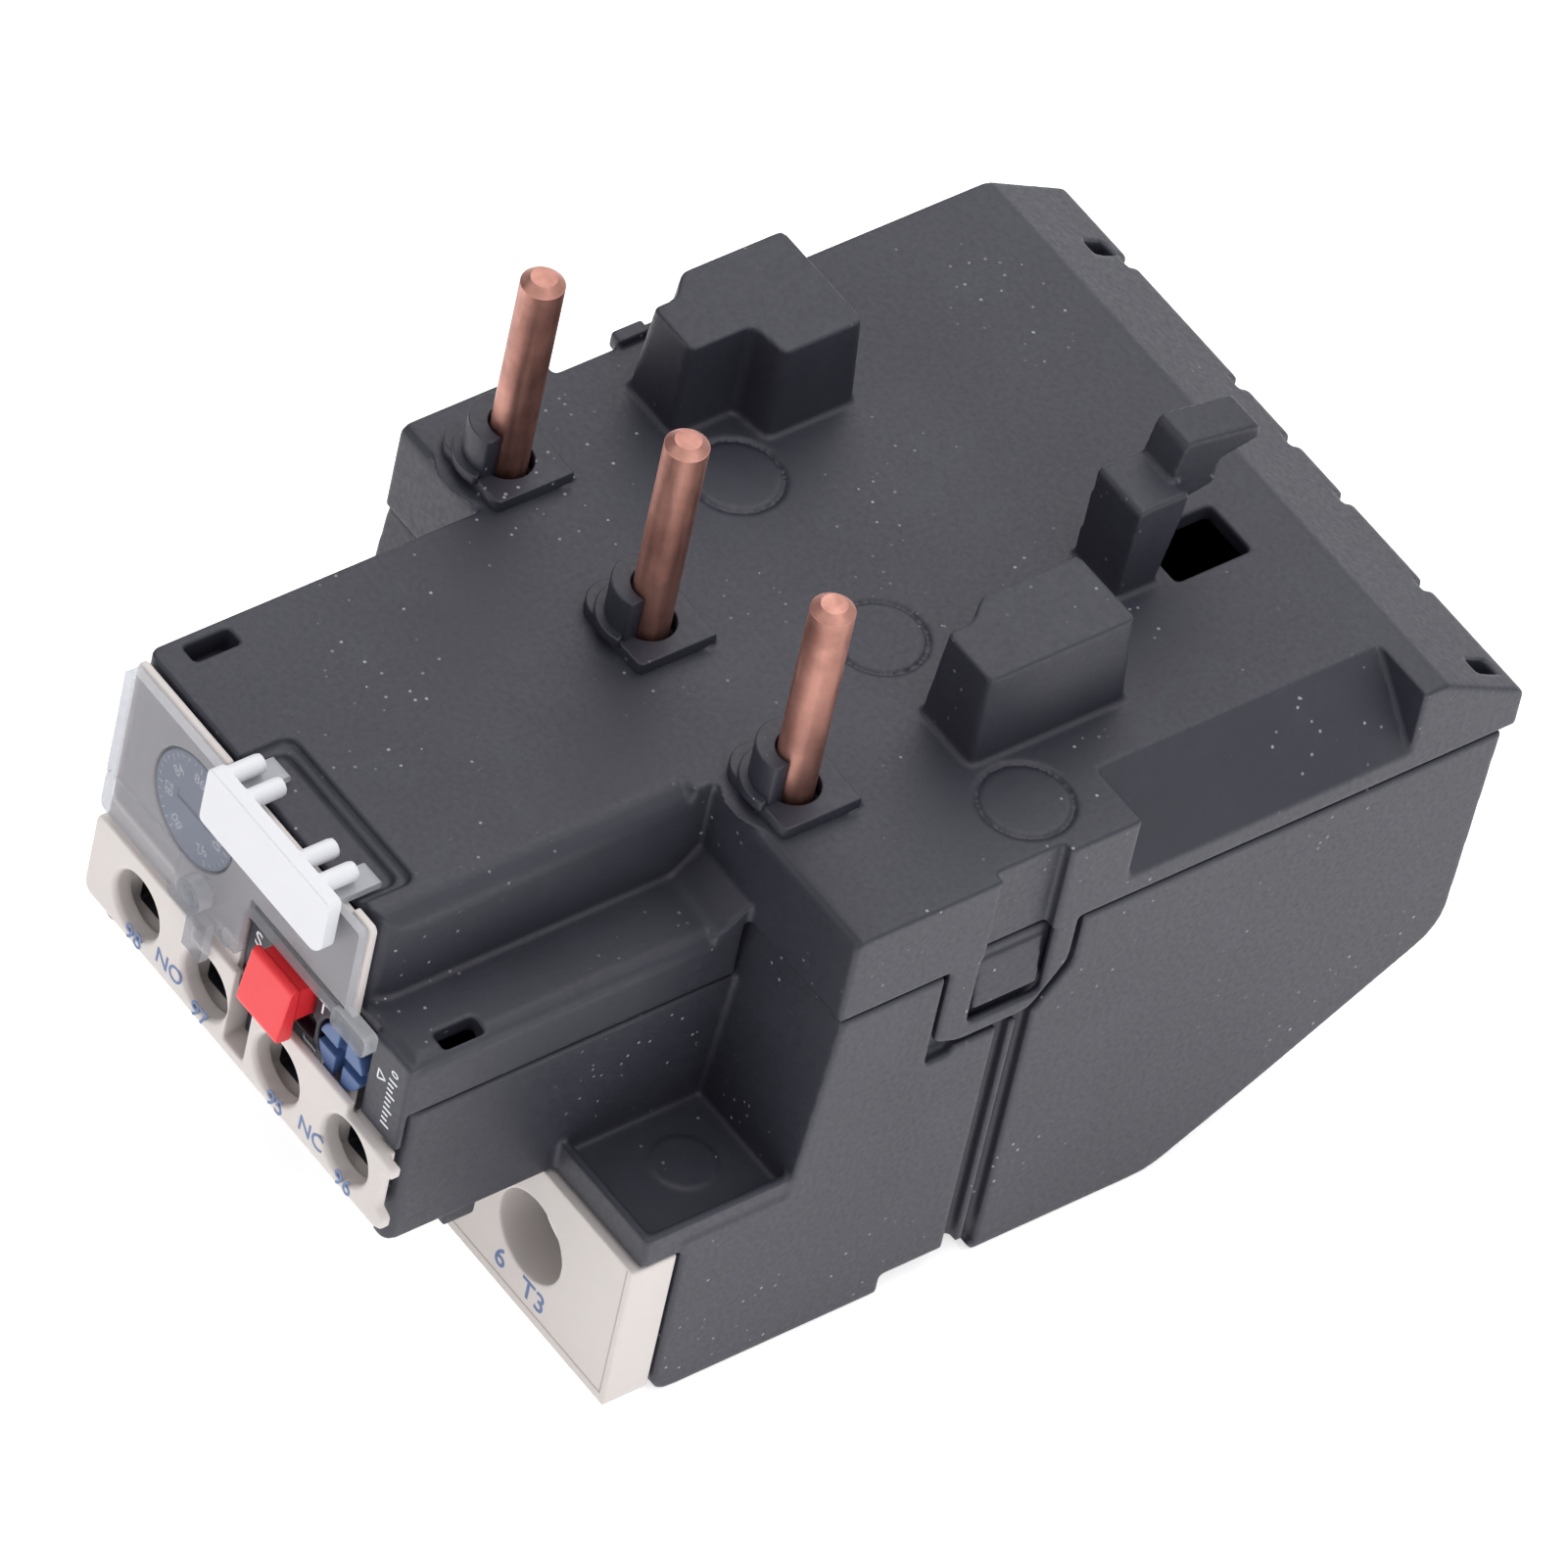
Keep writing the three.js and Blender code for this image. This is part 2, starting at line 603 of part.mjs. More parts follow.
// ---- controls ----
// Black plate round the stop button and the knob, with a tongue in the slot below.
function fascia() {
  const front = FRAME_F + 0.2;
  const sill = AUX_T + 0.3;
  let body = box(-2.4, 15, front, POCKET_Y + 0.6, sill, 41);
  body = add(body, box(-1.6, 0.9, -36, -35.2, 25, sill + 0.5));
  // round well of the knob
  body = body.subtract(rodY(KNOB.x, KNOB.z, 2.2, AUX_F - 1, -30, 24));
  body = body.subtract(rodY(KNOB.x, KNOB.z, KNOB.r + 0.35, AUX_F - 1, POCKET_Y, 32));
  // opening of the stop button and the recess beside it
  body = body.subtract(box(STOP.x - 3.1, STOP.x + 3.3, AUX_F - 1, -30, STOP.z - 1.6, STOP.z + 3));
  body = body.subtract(box(STOP.x, STOP.x + 4, AUX_F - 1, front + 1.4, sill + 0.5, STOP.z - 1));
  return body;
}

function clearCover() {
  const outline = [
    [-22.6, 35.4, 1],
    [-12.6, 35.4, 0.3],
    [-12.2, 34, 0.5],
    [-9, 34, 0.5],
    [-8.6, 35.5, 0.3],
    [-2, 35.7, 0.5],
    [-2, 41.7, 0.3],
    [12.9, 41.6, 0.3],
    [12.9, 53.4, 0.6],
    [-22.6, 53.4, 0.8],
  ];
  const back = COVER_F + 0.9;
  let body = alongY(rounded(outline, 0, 3), COVER_F, back);
  // thicker lip along the lower left edge and a bead at the corner
  const lip = rounded(rect(-22.6, -11.4, 35.5, 40.2), 0.9, 3);
  body = add(body, alongY(lip, COVER_F - 0.35, COVER_F + 0.1));
  body = add(body, rodY(-3.4, 36.9, 0.9, COVER_F - 0.4, COVER_F + 0.1, 20));
  body = add(body, alongY(rect(-22.6, -21.4, 40, 53), COVER_F - 0.35, COVER_F + 0.1));
  // sealing tab: a ring on a short boss, with a tongue under it
  const ring = rodY(-7.9, 38.5, 1.75, COVER_F - 1.5, COVER_F + 0.1, 28);
  const tongue = box(-8.2, -5.4, COVER_F - 0.9, COVER_F + 0.1, 31.8, 36.4);
  body = add(body, ring, tongue);
  body = body.subtract(rodY(-7.9, 38.5, 0.95, COVER_F - 3, -37, 24));
  // finger grip beside the knob
  const grip = alongY(rounded(rect(12, 17, 41.3, 43.6), 0.6, 3), COVER_F - 0.6, COVER_F + 0.9);
  body = add(body, grip);
  // lugs that carry the hinge in the recess of the top
  [-6.4, 7.6].forEach((x) => {
    const arm = box(x - 1.3, x + 1.3, COVER_F, HINGE.y, HINGE.z - 0.4, HINGE.z + 0.4);
    body = add(body, arm, rodX(HINGE.y, HINGE.z, 0.4, x - 1.3, x + 1.3));
  });
  return body;
}

function labelHolder() {
  const front = COVER_F - 1.9;
  const back = COVER_F - 0.4;
  const outline = [
    [-8.1, 48.8, 0.6],
    [9.4, 48.8, 0.5],
    [10.4, 49.8, 0.5],
    [10.4, 55.6, 0.6],
    [-8.1, 55.6, 0.8],
  ];
  let body = alongY(rounded(outline, 0, 3), front, back);
  // two pairs of pegs reach back over the frame
  [-6.9, -3.8, 4.3, 7.3].forEach((x) => {
    body = add(body, rodY(x, 54.7, 0.95, back - 0.3, NOSE_Y + 0.5, 18));
    body = add(body, rodY(x, 54.7, 0.65, NOSE_Y + 0.4, NOSE_Y + 0.8, 18, 0.95));
  });
  return body;
}

function dial() {
  let body = rodY(DIAL.x, DIAL.z, DIAL.r, FRAME_F + 0.1, -36.7, 40);
  body = add(body, rodY(DIAL.x, DIAL.z, 2.2, -36.8, -29.1, 20));
  body = body.subtract(box(DIAL.x - 2.6, DIAL.x + 2.6, -39, -37, DIAL.z - 0.55, DIAL.z + 0.55));
  return body;
}

function dialCam() {
  const disc = rodY(DIAL.x + 0.9, DIAL.z, 4, -31.5, -29.5, 32);
  return cut(disc, rodY(DIAL.x, DIAL.z, 2.25, -33, -28, 20));
}

function stopButton() {
  const side = [
    [FRONT_Y, 34.4, 0.5],
    [-38.8, 34.2, 0.3],
    [-38.8, 40.8, 0.3],
    [FRONT_Y + 0.9, 40.7, 0.5],
  ];
  const head = alongX(rounded(side, 0, 3), STOP.x - 3.1, STOP.x + 3.1);
  const stem = box(STOP.x - 2.7, STOP.x + 2.9, -38.9, -33, STOP.z - 1.2, STOP.z + 2.7);
  return add(head, stem, rodY(STOP.x, STOP.z, 0.9, -33.1, -27, 16));
}

function coil(x, z, r, wire, y0, y1, turns) {
  const points = [];
  const n = turns * 10;
  for (let i = 0; i <= n; i += 1) {
    const a = (i / 10) * Math.PI * 2;
    points.push(new THREE.Vector3(x + r * Math.cos(a), y0 + ((y1 - y0) * i) / n, z + r * Math.sin(a)));
  }
  return sweep(points, wire, n);
}

function sweep(points, wire, steps) {
  const curve = new THREE.CatmullRomCurve3(points);
  const section = shapeOf([
    [wire, wire],
    [-wire, wire],
    [-wire, -wire],
    [wire, -wire],
  ]);
  const g = new THREE.ExtrudeGeometry(section, { steps, extrudePath: curve, bevelEnabled: false });
  return solid(g);
}

function knob() {
  let body = rodY(KNOB.x, KNOB.z, KNOB.r, KNOB_F, POCKET_Y - 1.3, 36);
  const deep = KNOB_F + 1.3;
  body = body.subtract(box(KNOB.x - 0.55, KNOB.x + 0.55, KNOB_F - 1, deep, KNOB.z - 4, KNOB.z + 4));
  body = body.subtract(box(KNOB.x - 4, KNOB.x + 4, KNOB_F - 1, deep, KNOB.z - 0.55, KNOB.z + 0.55));
  return add(body, rodY(KNOB.x, KNOB.z, 1.5, POCKET_Y - 1.4, -28, 20));
}

function knobGuide() {
  const ring = rodY(KNOB.x, KNOB.z, 2.7, -33.4, -32.1, 28);
  return cut(ring, rodY(KNOB.x, KNOB.z, 1.85, -36, -30, 20));
}

// ---- inside ----
function pin(x) {
  const shaft = rodZ(x, PIN_Y, PIN_R, 33, PIN_TOP - 0.6, 28);
  const g = new THREE.CylinderGeometry(PIN_R * 0.6, PIN_R, 0.8, 28);
  g.rotateX(Math.PI / 2);
  g.translate(x, PIN_Y, PIN_TOP - 0.25);
  const foot = box(x - 3.4, x + 3.4, 2.2, 23.4, 32, 33.6);
  return add(shaft, solid(g), foot);
}

function loadBar(x) {
  return box(x - 3.2, x + 3.2, -4.9, 35, 13.2, 14.8);
}

function bimetal(x) {
  return box(x - 0.5, x + 0.5, 27, 33, 15.1, 36);
}

function heater(x) {
  const points = [];
  const n = 60;
  for (let i = 0; i <= n; i += 1) {
    const a = (i / 12) * Math.PI * 2;
    points.push(new THREE.Vector3(x + 4.4 * Math.cos(a), 30 + 4.4 * Math.sin(a), 17 + (12 * i) / n));
  }
  return sweep(points, 0.55, n);
}

function slideBar(y0, y1, finger0, finger1) {
  let body = box(-26, 24, y0, y1, 37.4, 39.4);
  POLES.forEach((x) => {
    body = add(body, box(x + 1.2, x + 2.4, finger0, finger1, 33.4, 39.4));
  });
  return body;
}

function tripSlide() {
  return add(slideBar(23, 26, 23, 29.4), box(-19, -17, -3.4, 23.5, 37.4, 39.4));
}

function compensator() {
  return box(-12.6, -11.9, -24, -2.5, 34.6, 40.6);
}

function adjustingLever() {
  const post = rodZ(-12.2, -25.6, 1.5, 34, 48, 20);
  const arm = box(-13.4, -5.8, -28.6, -26.6, 41.6, 45.6);
  const follower = box(-6.9, -5.8, -31.5, -28.5, 41.6, 45.6);
  return add(post, arm, follower, box(-13.2, -11.2, -27.5, -24.3, 34.6, 45.6));
}

function tripLever() {
  const bar = box(-14, 15, -13.6, -11.6, 24.5, 30.6);
  const hub = rodZ(0, -12.6, 2, 22, 33.6, 20);
  return cut(add(bar, hub), rodZ(0, -12.6, 0.9, 20, 36, 16));
}

function pivotPost() {
  return rodZ(0, -12.6, 0.6, NOSE_Z + 2.1, 35, 16);
}

function bridge(x0, x1, y) {
  const bar = box(x0, x1, y - 0.8, y, 27.4, 30.2);
  const stem = box((x0 + x1) / 2 - 1, (x0 + x1) / 2 + 1, y - 0.1, -13.9, 27.4, 30.2);
  return add(bar, stem);
}

put("base_housing", baseHousing(), BLACK, 0.6);
put("top_cover", topCover(), BLACK, 0.6);
put("power_terminal_strip", powerStrip(), BEIGE, 0.55);
put("aux_terminal_block", auxBlock(), BEIGE, 0.55);
put("front_fascia", fascia(), BLACK, 0.55);
put("clear_cover", clearCover(), 0xd8dcdf, 0.15);
put("label_holder", labelHolder(), 0xf2f2f4, 0.45);
put("current_dial", dial(), 0xe4e6ea, 0.5);
put("dial_cam", dialCam(), 0x9a9ca0, 0.5);
put("stop_button", stopButton(), 0xe64545, 0.45);
put("stop_spring", coil(STOP.x, STOP.z, 1.6, 0.2, -32.6, -28.2, 4), STEEL, 0.3, 1);
put("reset_knob", knob(), 0x4a64a0, 0.45);
put("reset_guide", knobGuide(), 0xc9ccd2, 0.5);
put("reset_spring", coil(KNOB.x, KNOB.z, 2.2, 0.2, -31.8, -28.6, 4), STEEL, 0.3, 1);
POLES.forEach((x, k) => {
  const n = k + 1;
  put(`pin_${n}`, pin(PIN_X + (k - 1) * PIN_PITCH), COPPER, 0.35, 1);
  put(`load_bar_${n}`, loadBar(x), COPPER, 0.4, 1);
  put(`power_clamp_${n}`, powerClamp(x), STEEL, 0.35, 1);
  put(`power_screw_${n}`, screw(x, STRIP_Z, 4.1, 2.5, -12.9, -9.9, -6.2, true), STEEL, 0.3, 1);
  put(`bimetal_${n}`, bimetal(x), 0x9b9588, 0.4, 1);
  put(`heater_${n}`, heater(x), 0x8a7f74, 0.4, 1);
});
Object.entries(AUX_X).forEach(([n, x]) => {
  put(`aux_screw_${n}`, screw(x, AUX_Z, 2.9, 1.5, -33.4, -31.6, -25.4, false), STEEL, 0.3, 1);
  put(`aux_clamp_${n}`, auxClamp(x), STEEL, 0.35, 1);
});
put("contact_98", auxContact(AUX_X[98], 2, -18.6), COPPER, 0.4, 1);
put("contact_97", auxContact(AUX_X[97], 0, -18.6), COPPER, 0.4, 1);
put("contact_95", auxContact(AUX_X[95], 0, -18.6), COPPER, 0.4, 1);
put("contact_96", auxContact(AUX_X[96], -2, -18.6), COPPER, 0.4, 1);
put("trip_slide", tripSlide(), 0xd9c9a0, 0.6);
put("differential_slide", slideBar(34, 37, 30.4, 37), 0xcfc8b8, 0.6);
put("compensation_bimetal", compensator(), 0x9b9588, 0.4, 1);
put("adjusting_lever", adjustingLever(), 0xdedede, 0.55);
put("trip_lever", tripLever(), 0xdedede, 0.55);
put("trip_pivot", pivotPost(), STEEL, 0.3, 1);
put("nc_bridge", bridge(4, 16, -17.4), COPPER, 0.4, 1);
put("no_bridge", bridge(-16, -4, -16), COPPER, 0.4, 1);
group.position.y = -MID_Y;

export default group;
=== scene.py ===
"""Three-pole thermal overload relay: looks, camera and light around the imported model."""
import json
import math

import bmesh
import bpy
from mathutils import Matrix, Vector


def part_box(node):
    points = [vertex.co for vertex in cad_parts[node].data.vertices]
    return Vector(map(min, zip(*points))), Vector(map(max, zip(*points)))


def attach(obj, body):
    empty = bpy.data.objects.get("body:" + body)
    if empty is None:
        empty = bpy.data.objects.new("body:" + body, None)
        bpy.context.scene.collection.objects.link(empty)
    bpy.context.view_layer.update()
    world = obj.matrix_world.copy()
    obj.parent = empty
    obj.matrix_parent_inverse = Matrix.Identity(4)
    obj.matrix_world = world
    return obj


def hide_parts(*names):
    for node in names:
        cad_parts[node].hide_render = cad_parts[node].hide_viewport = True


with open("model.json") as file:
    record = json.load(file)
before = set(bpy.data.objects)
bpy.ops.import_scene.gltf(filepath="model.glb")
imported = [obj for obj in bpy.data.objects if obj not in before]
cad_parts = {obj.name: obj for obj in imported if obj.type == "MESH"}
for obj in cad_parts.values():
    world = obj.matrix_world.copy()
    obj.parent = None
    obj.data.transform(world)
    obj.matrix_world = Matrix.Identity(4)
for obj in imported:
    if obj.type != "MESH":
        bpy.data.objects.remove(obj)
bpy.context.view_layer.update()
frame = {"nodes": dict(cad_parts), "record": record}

MM = 0.001
WELD = 0.002 * MM  # vertices nearer than this are one
FLAT_ANGLE = math.radians(2.0)  # faces that turn less than this are one flat face
SHARP_ANGLE = math.radians(38.0)  # edges that turn more than this are bevelled
SMOOTH_PASSES = 4
NODES = frame["nodes"]


# ---- small helpers -------------------------------------------------------

def body_names():
    """Body of each node, as the record says."""
    out = {}
    for body, nodes in frame["record"]["behaviour"]["bodies"].items():
        for node in nodes:
            out[node] = body
    return out


BODY_OF = body_names()
SLOT_OF = {s["node"]: s["material_slot"] for s in frame["record"]["subparts"]}


def new_object(name, data):
    """A new object in the scene, of a mesh, curve, light or camera."""
    obj = bpy.data.objects.new(name, data)
    bpy.context.scene.collection.objects.link(obj)
    return obj


def set_material(obj, material):
    obj.data.materials.clear()
    obj.data.materials.append(material)


def evaluated_mesh(obj):
    """A new mesh of what a curve, a text or a mesh with modifiers looks like."""
    bpy.context.view_layer.update()
    graph = bpy.context.evaluated_depsgraph_get()
    return bpy.data.meshes.new_from_object(obj.evaluated_get(graph))


def joined(name, meshes):
    """One mesh made of several."""
    shape = bmesh.new()
    for mesh in meshes:
        shape.from_mesh(mesh)
    whole = bpy.data.meshes.new(name)
    shape.to_mesh(whole)
    shape.free()
    return whole


def applied(obj):
    """Replaces the object's mesh by the result of its modifiers."""
    mesh = evaluated_mesh(obj)
    old = obj.data
    obj.modifiers.clear()
    obj.data = mesh
    bpy.data.meshes.remove(old)


def copy_of(node):
    """A new object with a copy of a CAD node's mesh."""
    source = NODES[node]
    obj = new_object("v_" + node, source.data.copy())
    obj.matrix_world = source.matrix_world.copy()
    return obj


def stand_in(obj, node):
    """Shades a finished piece smoothly and lets it stand for its CAD node."""
    for polygon in obj.data.polygons:
        polygon.use_smooth = True
    weights = obj.modifiers.new("weights", "WEIGHTED_NORMAL")
    weights.keep_sharp = False
    set_material(obj, SLOT_MATERIAL[SLOT_OF[node]])
    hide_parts(node)
    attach(obj, BODY_OF[node])


def softened(node, voxel, keep, cutters=()):
    """A copy of a CAD node, less the cutters, with its edges rounded the way a moulding's are."""
    obj = copy_of(node)
    for cutter in cutters:
        room = obj.modifiers.new("room", "BOOLEAN")
        room.operation = "DIFFERENCE"
        room.object = cutter
    remesh = obj.modifiers.new("remesh", "REMESH")
    remesh.mode = "VOXEL"
    remesh.voxel_size = voxel * MM
    smooth = obj.modifiers.new("smooth", "SMOOTH")
    smooth.factor = 0.5
    smooth.iterations = SMOOTH_PASSES
    thin = obj.modifiers.new("thin", "DECIMATE")
    thin.ratio = keep
    applied(obj)
    stand_in(obj, node)


def bevelled(node, width):
    """A copy of a small CAD node with every sharp edge broken."""
    obj = copy_of(node)
    shape = bmesh.new()
    shape.from_mesh(obj.data)
    bmesh.ops.remove_doubles(shape, verts=shape.verts, dist=WELD)
    bmesh.ops.dissolve_limit(
        shape, angle_limit=FLAT_ANGLE, verts=shape.verts, edges=shape.edges
    )
    shape.to_mesh(obj.data)
    shape.free()
    edge = obj.modifiers.new("edge", "BEVEL")
    edge.width = width * MM
    edge.segments = 2
    edge.limit_method = "ANGLE"
    edge.angle_limit = SHARP_ANGLE
    applied(obj)
    stand_in(obj, node)


# ---- materials -----------------------------------------------------------

PAINTED_SHADE_DEPTH = 3.4  # mm behind the front of the auxiliary block, from where painted shade darkens its holes
# painted shade: near-black colour put deep in the auxiliary block's holes, where shade falls
PAINTED_SHADE_COLOUR = (0.014, 0.014, 0.02)
RELIEF = 0.02 * MM  # height of the grain in plastic and metal
MIX_COLOUR_A = 6  # the Mix node's sockets for colours
MIX_COLOUR_B = 7
MIX_COLOUR_OUT = 2


def front_of(node):
    """Foremost y of a CAD node, in mm."""
    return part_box(node)[0][1] / MM


def blank_material(name):
    """A material with only a Principled shader; its tree and shader come with it."""
    mat = bpy.data.materials.new(name)
    mat.use_nodes = True
    tree = mat.node_tree
    tree.nodes.clear()
    out = tree.nodes.new("ShaderNodeOutputMaterial")
    shader = tree.nodes.new("ShaderNodeBsdfPrincipled")
    tree.links.new(shader.outputs[0], out.inputs[0])
    return mat, tree, shader


def coords(tree):
    """Object coordinates, in metres."""
    return tree.nodes.new("ShaderNodeTexCoord").outputs["Object"]


def noise(tree, scale, detail=3.0, rough=0.55, vector=None):
    """Noise of so many features a metre."""
    clouds = tree.nodes.new("ShaderNodeTexNoise")
    clouds.inputs["Scale"].default_value = scale
    clouds.inputs["Detail"].default_value = detail
    clouds.inputs["Roughness"].default_value = rough
    tree.links.new(vector or coords(tree), clouds.inputs["Vector"])
    return clouds.outputs["Fac"]


def spread(tree, value, low, high, out_low=0.0, out_high=1.0):
    """The value, with low to high spread out over out_low to out_high."""
    ramp = tree.nodes.new("ShaderNodeMapRange")
    ramp.inputs["From Min"].default_value = low
    ramp.inputs["From Max"].default_value = high
    ramp.inputs["To Min"].default_value = out_low
    ramp.inputs["To Max"].default_value = out_high
    tree.links.new(value, ramp.inputs["Value"])
    return ramp.outputs["Result"]


def mixed(tree, factor, first, second):
    """Mix of two colours, each a tuple or the output of a node."""
    mix = tree.nodes.new("ShaderNodeMix")
    mix.data_type = "RGBA"
    tree.links.new(factor, mix.inputs["Factor"])
    for key, value in ((MIX_COLOUR_A, first), (MIX_COLOUR_B, second)):
        if isinstance(value, tuple):
            mix.inputs[key].default_value = (*value, 1.0)
        else:
            tree.links.new(value, mix.inputs[key])
    return mix.outputs[MIX_COLOUR_OUT]


def bump(tree, shader, height, strength, distance):
    """Lets a height act on the shader's normal."""
    relief = tree.nodes.new("ShaderNodeBump")
    relief.inputs["Strength"].default_value = strength
    relief.inputs["Distance"].default_value = distance
    tree.links.new(height, relief.inputs["Height"])
    tree.links.new(relief.outputs["Normal"], shader.inputs["Normal"])


def sparse_specks(tree, scale, size, low, high):
    """Small bright dots, one in some of the cells, gathered in patches."""
    cells = tree.nodes.new("ShaderNodeTexVoronoi")
    cells.inputs["Scale"].default_value = scale
    tree.links.new(coords(tree), cells.inputs["Vector"])
    dot = spread(tree, cells.outputs["Distance"], size, size * 0.5)
    patch = spread(tree, noise(tree, 70.0, 3.0), low, high)
    return product(tree, dot, patch)


def product(tree, first, second):
    """Two values multiplied."""
    times = tree.nodes.new("ShaderNodeMath")
    times.operation = "MULTIPLY"
    tree.links.new(first, times.inputs[0])
    tree.links.new(second, times.inputs[1])
    return times.outputs[0]


def dusted(tree, colour, shade, dust):
    """The colour with paler handled patches and specks of dust, large and small."""
    handled = spread(tree, noise(tree, 160.0, 6.0, 0.7), 0.52, 0.75, 0.0, 0.25)
    colour = mixed(tree, handled, colour, tuple(c * 1.7 for c in shade))
    large = sparse_specks(tree, scale=300.0, size=0.035, low=0.46, high=0.6)
    small = sparse_specks(tree, scale=650.0, size=0.13, low=0.5, high=0.62)
    colour = mixed(tree, large, colour, (dust, dust, dust))
    return mixed(tree, small, colour, (dust * 0.7, dust * 0.7, dust * 0.75))


def moulded(name, base, shade, rough=(0.45, 0.6), dust=0.0, painted_shade_from=None):
    """Moulded plastic: fine grain and slow colour drift, with dust or painted shade deep in holes if
    asked for.
    """
    mat, tree, shader = blank_material(name)
    drift = spread(tree, noise(tree, 45.0, 4.0), 0.35, 0.65)
    colour = mixed(tree, drift, base, shade)
    if painted_shade_from is not None:
        # painted shade: behind the given depth the colour turns near black, standing in for the shade
        # inside the holes
        parts = tree.nodes.new("ShaderNodeSeparateXYZ")
        tree.links.new(coords(tree), parts.inputs["Vector"])
        inside = spread(tree, parts.outputs["Y"], painted_shade_from * MM, (painted_shade_from + 0.1) * MM)
        colour = mixed(tree, inside, colour, PAINTED_SHADE_COLOUR)
    if dust:
        colour = dusted(tree, colour, shade, dust)
    tree.links.new(colour, shader.inputs["Base Color"])
    fine = noise(tree, 1800.0, 2.0)
    tree.links.new(spread(tree, fine, 0.3, 0.7, *rough), shader.inputs["Roughness"])
    bump(tree, shader, fine, 0.35, RELIEF)
    return mat


def metal(name, base, shade, rough=(0.25, 0.45)):
    """Metal with stains and marks drawn out along z."""
    mat, tree, shader = blank_material(name)
    scale = tree.nodes.new("ShaderNodeMapping")
    scale.inputs["Scale"].default_value = (1.0, 1.0, 0.08)
    tree.links.new(coords(tree), scale.inputs["Vector"])
    lines = noise(tree, 900.0, 4.0, 0.6, scale.outputs["Vector"])
    stain = spread(tree, noise(tree, 220.0, 5.0), 0.35, 0.7)
    tree.links.new(mixed(tree, stain, base, shade), shader.inputs["Base Color"])
    shader.inputs["Metallic"].default_value = 1.0
    tree.links.new(spread(tree, lines, 0.3, 0.7, *rough), shader.inputs["Roughness"])
    bump(tree, shader, lines, 0.3, RELIEF)
    return mat


def clear_plastic(name, share):
    """Clear moulding: mostly seen through, with a share of hazy, glossy surface."""
    mat, tree, shader = blank_material(name)
    shader.inputs["Base Color"].default_value = (0.72, 0.73, 0.76, 1.0)
    fine = noise(tree, 260.0, 2.0)
    tree.links.new(spread(tree, fine, 0.3, 0.7, 0.06, 0.16), shader.inputs["Roughness"])
    bump(tree, shader, fine, 0.2, 0.00003)
    through = tree.nodes.new("ShaderNodeBsdfTransparent")
    haze = spread(tree, noise(tree, 90.0, 5.0), 0.3, 0.7)
    tree.links.new(
        mixed(tree, haze, (0.77, 0.775, 0.795), (0.82, 0.825, 0.845)), through.inputs["Color"]
    )
    both = tree.nodes.new("ShaderNodeMixShader")
    both.inputs[0].default_value = share
    tree.links.new(through.outputs[0], both.inputs[1])
    tree.links.new(shader.outputs[0], both.inputs[2])
    output = next(n for n in tree.nodes if n.type == "OUTPUT_MATERIAL")
    tree.links.new(both.outputs[0], output.inputs[0])
    return mat


BLACK = moulded(
    "black_moulding", (0.021, 0.021, 0.033), (0.028, 0.028, 0.041), rough=(0.42, 0.56), dust=0.42
)
FASCIA = moulded("black_fascia", (0.01, 0.01, 0.018), (0.014, 0.014, 0.023), rough=(0.4, 0.5))
BEIGE_TONES = (0.61, 0.56, 0.54), (0.65, 0.6, 0.575)
BEIGE = moulded("beige_moulding", *BEIGE_TONES)
# beige with painted shade: turns near black deep inside the block's holes
BLOCK = moulded("beige_painted_shade_inside", *BEIGE_TONES, painted_shade_from=front_of("aux_terminal_block") + PAINTED_SHADE_DEPTH)
WHITE = moulded("white_moulding", (0.7, 0.7, 0.73), (0.74, 0.74, 0.77), rough=(0.4, 0.5))
DIAL = moulded("dial_moulding", (0.27, 0.31, 0.4), (0.31, 0.35, 0.44), rough=(0.35, 0.45))
GREY = moulded("grey_moulding", (0.6, 0.6, 0.62), (0.66, 0.66, 0.68))
RED = moulded("red_moulding", (0.8, 0.02, 0.028), (0.86, 0.03, 0.038), rough=(0.3, 0.42))
BLUE = moulded("blue_moulding", (0.06, 0.115, 0.26), (0.075, 0.135, 0.3), rough=(0.35, 0.45))
TAN = moulded("tan_moulding", (0.5, 0.38, 0.2), (0.58, 0.44, 0.25))
COPPER = metal("copper_bar", (0.56, 0.29, 0.235), (0.33, 0.16, 0.13), rough=(0.38, 0.62))
BRASS = metal("brass_strip", (0.72, 0.52, 0.28), (0.6, 0.4, 0.2))
STEEL = metal("zinc_steel", (0.66, 0.66, 0.68), (0.5, 0.5, 0.52))
STRIP = metal("bimetal_strip", (0.55, 0.52, 0.46), (0.42, 0.4, 0.36))
WIRE = metal("heater_wire", (0.4, 0.35, 0.3), (0.3, 0.26, 0.22))
CLEAR = clear_plastic("clear_moulding", 0.09)
CLEAR_EDGE = clear_plastic("clear_edge", 0.4)
INK = moulded("blue_ink", (0.09, 0.15, 0.32), (0.13, 0.19, 0.36), rough=(0.5, 0.6))
# painted shade: darker beige for the line where a groove's shade falls
GROOVE_PAINTED_SHADE = moulded("groove_painted_shade", (0.4, 0.34, 0.3), (0.46, 0.4, 0.36), rough=(0.5, 0.6))
PAINT = moulded("white_ink", (0.85, 0.86, 0.88), (0.78, 0.79, 0.82), rough=(0.5, 0.6))

SLOT_MATERIAL = {
    "housing_black": BLACK, "cover_black": BLACK, "fascia_black": FASCIA,
    "beige_strip": BEIGE, "beige_block": BLOCK, "clear_plastic": CLEAR,
    "white_plastic": WHITE, "dial_plastic": DIAL, "grey_plastic": GREY,
    "red_plastic": RED, "blue_plastic": BLUE, "tan_plastic": TAN, "copper": COPPER,
    "brass_contact": BRASS, "bimetal": STRIP, "heater_alloy": WIRE,
    "spring_steel": STEEL, "zinc_steel": STEEL,
}

# ---- pieces --------------------------------------------------------------

